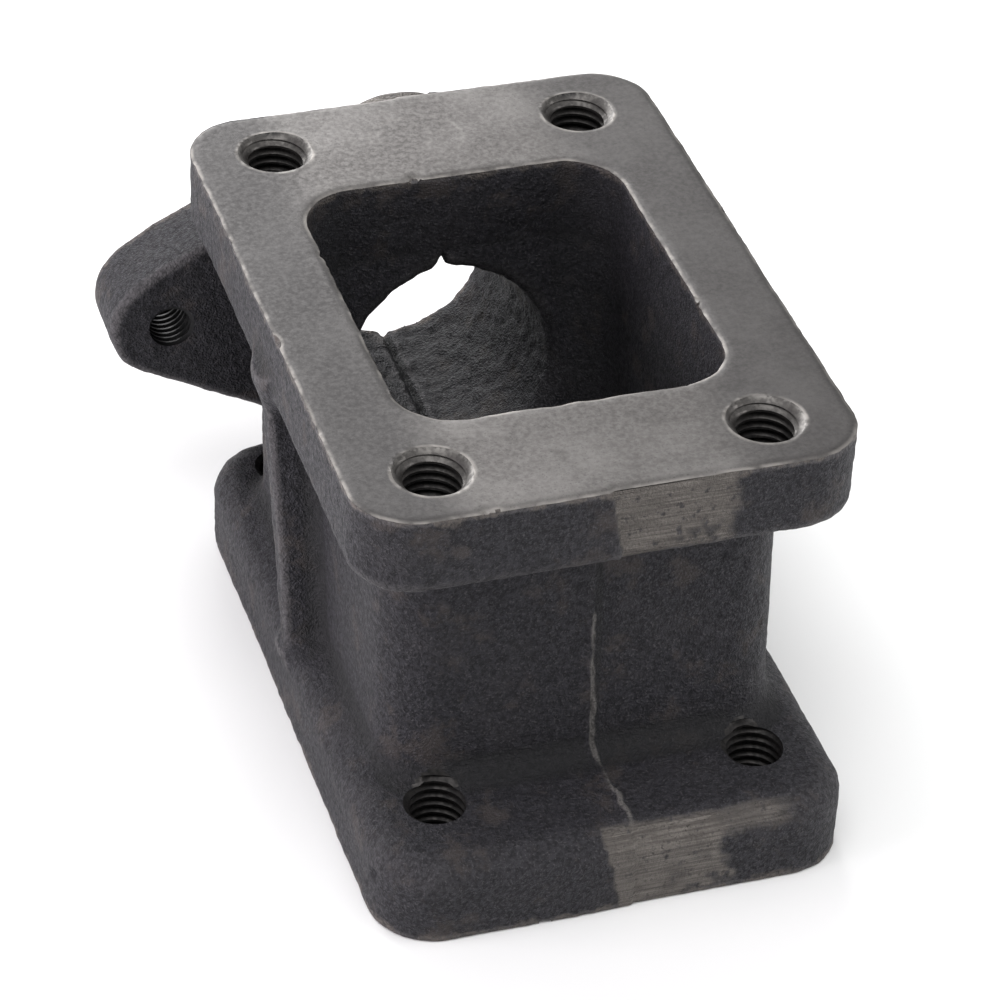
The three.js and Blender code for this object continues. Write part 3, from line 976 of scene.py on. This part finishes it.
def cast_skin():
    s = Shader("cast_skin")
    mottle = s.noise(9.0, 4.0, 0.6)
    speck = s.noise(0.75, 3.0, 0.65)
    sand = s.noise(0.36, 2.0, 0.6)
    colour = s.blend(s.ramp(speck, 0.36, 0.66), SKIN_DARK, SKIN_LIGHT)
    colour = s.blend(s.ramp(mottle, 0.45, 0.75, 0.0, 0.30), colour, DUST)
    rust = s.ramp(s.noise(8.0, 4.0, 0.7), 0.54, 0.66, 0.0, 0.6)
    colour = s.blend(rust, colour, RUST)
    colour = s.blend(s.ramp(sand, 0.56, 0.70, 0.0, 0.65), colour, SAND_GLINT)
    specked = s.ramp(speck, 0.3, 0.6, 0.35, 1.0)
    edge = s.maths("MULTIPLY", s.ramp(s.attribute("bend"), 0.12, 0.75), specked)
    colour = s.blend(s.maths("MULTIPLY", edge, 0.6), colour, WORN_EDGE)
    # Painted shade: corners and fillets, where the surface bends inward, are darkened.
    corner = s.ramp(s.attribute("bend"), -0.25, 0.0, 0.75, 0.0)
    colour = s.blend(corner, colour, CORNER_PAINTED_SHADE)
    # Bare metal from wear and a painted highlight where the edge breaks, in a ragged band next to the
    # machined faces.
    worn_and_lit = s.maths("ADD", s.attribute("rim"), s.ramp(s.noise(3.5, 3.0), 0.35, 0.65, 0.9, -0.5))
    rim = s.maths("MULTIPLY", s.ramp(worn_and_lit, 0.2, 1.1, 1.0, 0.0), s.ramp(speck, 0.35, 0.6, 0.2, 1.0))
    colour = s.blend(s.maths("MULTIPLY", rim, 0.7), colour, BARE_RIM_AND_HIGHLIGHT)
    sanded = s.ramp(sand, 0.35, 0.6, 0.5, 1.0)
    flash = s.maths("MULTIPLY", s.ramp(s.attribute("flash"), 0.35, 0.8), sanded)
    colour = s.blend(s.maths("MULTIPLY", flash, 0.8), colour, BARE_FLASH)

    # Where the flash was ground off: brown-grey metal, scratched along the flange, with pits left dark.
    scratch = s.noise(1.0, 4.0, 0.7, s.stretched((0.10, 1.0, 3.2), (0, 0.10, 0)))
    fine = s.noise(1.0, 2.0, 0.6, s.stretched((0.12, 1.0, 9.0), (0, -0.05, 0)))
    bare = s.blend(s.ramp(scratch, 0.35, 0.68), GROUND_DARK, GROUND_LIGHT)
    bare = s.blend(s.ramp(fine, 0.50, 0.72, 0.0, 0.40), bare, GROUND_SCRATCH)
    bare = s.blend(s.ramp(s.noise(2.6, 4.0, 0.65), 0.45, 0.66, 0.0, 0.45), bare, GROUND_STAIN)
    bare = s.blend(s.ramp(speck, 0.38, 0.30, 0.0, 0.75), bare, GROUND_PIT)
    ragged = s.ramp(s.noise(1.3, 3.0), 0.28, 0.44, 0.15, 1.0)
    ground = s.maths("MULTIPLY", s.attribute("ground"), ragged)
    colour = s.blend(ground, colour, bare)

    shine = s.maths("MAXIMUM", s.maths("MAXIMUM", ground, rim), s.maths("MULTIPLY", edge, 0.4))
    metal = s.ramp(shine, 0.0, 1.0, 0.1, 0.85)
    rough = s.ramp(speck, 0.3, 0.7, 0.70, 0.54)
    rough = s.blend(ground, rough, s.ramp(scratch, 0.3, 0.7, 0.52, 0.36))
    relief = s.maths("ADD", s.maths("MULTIPLY", speck, 0.5), sand)
    normal = s.bump(relief, 0.42)
    normal = s.bump(s.maths("MULTIPLY", scratch, ground), 0.10, normal)
    s.put(s.surface.inputs["Specular IOR Level"], 0.3)
    return s.finish(Base_Color=colour, Metallic=metal, Roughness=rough, Normal=normal)


def machined_iron():
    s = Shader("machined_iron")
    cloud = s.noise(14.0, 4.0, 0.6)
    mottle = s.noise(0.9, 4.0, 0.7)
    fleck = s.noise(0.35, 2.0, 0.6)
    colour = s.blend(s.ramp(mottle, 0.33, 0.68), FACE_DARK, FACE_LIGHT)
    colour = s.blend(s.ramp(cloud, 0.38, 0.66, 0.0, 0.7), colour, FACE_CLOUD)
    colour = s.blend(s.ramp(fleck, 0.42, 0.30, 0.0, 0.45), colour, FACE_FLECK)
    stain = s.ramp(s.noise(6.0, 3.0, 0.6), 0.60, 0.72, 0.0, 0.30)
    colour = s.blend(stain, colour, FACE_STAIN)

    # Painted shade: the faces are darker towards their sides, most of all on the left.
    side = s.maths("ABSOLUTE", s.maths("ADD", s.x, -SHADE_MIDDLE * MM))
    colour = s.blend(s.ramp(side, 17.0 * MM, 27.0 * MM, 0.0, 0.55), colour, FACE_PAINTED_SHADE)
    colour = s.blend(s.ramp(s.x, -18.0 * MM, -27.0 * MM, 0.0, 0.4), colour, FACE_PAINTED_SHADE)
    for (x, y), radius in RUBBED_RINGS:
        away = s.distance((x * MM, y * MM, TOP_FACE * MM))
        off = s.maths("ABSOLUTE", s.maths("SUBTRACT", away, radius * MM))
        ring = s.maths("MULTIPLY", s.ramp(off, 0.0, 0.6 * MM, 0.35, 0.0), s.ramp(cloud, 0.35, 0.6))
        colour = s.blend(ring, colour, FACE_RUBBED)
    # Wear and a painted highlight in a broken band along each face's rim.
    worn_and_lit = s.ramp(s.noise(4.0, 3.0), 0.38, 0.62, 0.15, 1.0)
    rim = s.maths("MULTIPLY", s.ramp(s.attribute("rim"), 0.15, 0.75, 1.0, 0.0), worn_and_lit)
    colour = s.blend(s.maths("MULTIPLY", rim, 0.6), colour, FACE_RIM_AND_HIGHLIGHT)
    rough = s.ramp(mottle, 0.3, 0.7, 0.62, 0.48)
    relief = s.maths("ADD", s.maths("MULTIPLY", mottle, 0.6), fleck)
    return s.finish(Base_Color=colour, Metallic=0.7, Roughness=rough, Normal=s.bump(relief, 0.02))


def tapped_iron():
    s = Shader("tapped_iron")
    mottle = s.noise(0.8, 3.0, 0.6)
    spots = s.ramp(mottle, 0.35, 0.65)
    colour = s.blend(spots, THREAD_DARK, THREAD_LIGHT)
    # Painted light and shade: the threads are lighter near the hole's mouth and darker deeper in.
    lit_mouth = s.ramp(s.attribute("rim"), 0.3, 5.2, 0.85, 0.0)
    colour = s.blend(lit_mouth, colour, s.blend(spots, LIT_MOUTH_DARK, LIT_MOUTH_LIGHT))
    # Painted shade: the wastegate flange's tapped holes are darkened.
    gate = s.ramp(s.y, (GATE_LOW[1] - 1) * MM, GATE_LOW[1] * MM, 0.0, 0.85)
    colour = s.blend(gate, colour, GATE_THREAD_SHADE)
    # Wear and a painted highlight at the hole's rim.
    rim = s.maths("MULTIPLY", s.ramp(s.attribute("rim"), 0.1, 0.5, 1.0, 0.0), s.ramp(mottle, 0.4, 0.6))
    colour = s.blend(s.maths("MULTIPLY", rim, 0.35), colour, THREAD_RIM_AND_HIGHLIGHT)
    rough = s.ramp(mottle, 0.3, 0.7, 0.50, 0.36)
    return s.finish(Base_Color=colour, Metallic=0.8, Roughness=rough, Normal=s.bump(mottle, 0.02))


# ---- the part -----------------------------------------------------------------------------------------
materials = [cast_skin(), machined_iron(), tapped_iron()]
for node, piece in split(machined_casting()).items():
    piece.name = "cast_" + node
    piece.data.name = piece.name
    dress(piece, materials)
    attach(piece, "root")
    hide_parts(node)


# ---- floor, light and camera, in metres from here on --------------------------------------------------
FLOOR_HALF_MM = 3000

# Each soft light's place, size, power and colour.
LIGHTS = {
    "behind": ((-0.05, 0.80, 0.45), 0.6, 7.6, (1.0, 1.0, 1.0)),
    "left": ((-0.80, 0.00, 0.16), 0.5, 6.2, (1.0, 0.93, 1.0)),
    "above": ((-0.10, -0.20, 0.95), 0.7, 5.0, (1.0, 1.0, 1.0)),
    "right": ((0.80, -0.35, 0.30), 0.5, 3.2, (1.0, 1.0, 1.0)),
}
LIGHT_TARGET = Vector((0, 0, 0.03))
SKY_STRENGTH = 0.50

CAMERA_AZIMUTH = math.radians(-19.04)
CAMERA_ELEVATION = math.radians(37.18)
CAMERA_ROLL = math.radians(2.70)
CAMERA_DISTANCE = 0.5730
CAMERA_TARGET = Vector((-0.00886, -0.02429, 0.0485))
CAMERA_LENS = 142.45
CAMERA_SENSOR = 36.0


def floor():
    s = Shader("floor")
    colour = s.blend(s.noise(60.0, 2.0), (0.86, 0.86, 0.86), (0.90, 0.90, 0.90))
    corners = [(x * FLOOR_HALF_MM, y * FLOOR_HALF_MM, 0) for x, y in ((-1, -1), (1, -1), (1, 1), (-1, 1))]
    made = mesh_object("floor", corners, [(0, 1, 2, 3)])
    made.data.materials.append(s.finish(Base_Color=colour, Roughness=0.9))


def soft_light(name, place, size, power, colour):
    """A square light that faces the part."""
    data = bpy.data.lights.new(name, "AREA")
    data.size, data.energy, data.color = size, power, colour
    made = bpy.data.objects.new(name, data)
    made.location = place
    made.rotation_euler = (LIGHT_TARGET - Vector(place)).to_track_quat("-Z", "Y").to_euler()
    bpy.context.scene.collection.objects.link(made)


def sky():
    world = bpy.data.worlds.new("studio")
    world.use_nodes = True
    background = world.node_tree.nodes["Background"]
    background.inputs["Color"].default_value = (1, 1, 1, 1)
    background.inputs["Strength"].default_value = SKY_STRENGTH
    bpy.context.scene.world = world
    bpy.context.scene.view_settings.view_transform = "Standard"


def camera():
    a, e = CAMERA_AZIMUTH, CAMERA_ELEVATION
    back = Vector((math.sin(a) * math.cos(e), -math.cos(a) * math.cos(e), math.sin(e)))
    level = Vector((0, 0, 1)).cross(back).normalized()
    upright = back.cross(level)
    right = math.cos(CAMERA_ROLL) * level + math.sin(CAMERA_ROLL) * upright
    up = math.cos(CAMERA_ROLL) * upright - math.sin(CAMERA_ROLL) * level
    made = bpy.data.objects.new("camera", bpy.data.cameras.new("camera"))
    made.data.lens = CAMERA_LENS
    made.data.sensor_width = CAMERA_SENSOR
    turn = Matrix((right, up, back)).transposed().to_4x4()
    made.matrix_world = Matrix.Translation(CAMERA_TARGET + back * CAMERA_DISTANCE) @ turn
    bpy.context.scene.collection.objects.link(made)
    bpy.context.scene.camera = made


floor()
for name, settings in LIGHTS.items():
    soft_light(name, *settings)
camera()
sky()
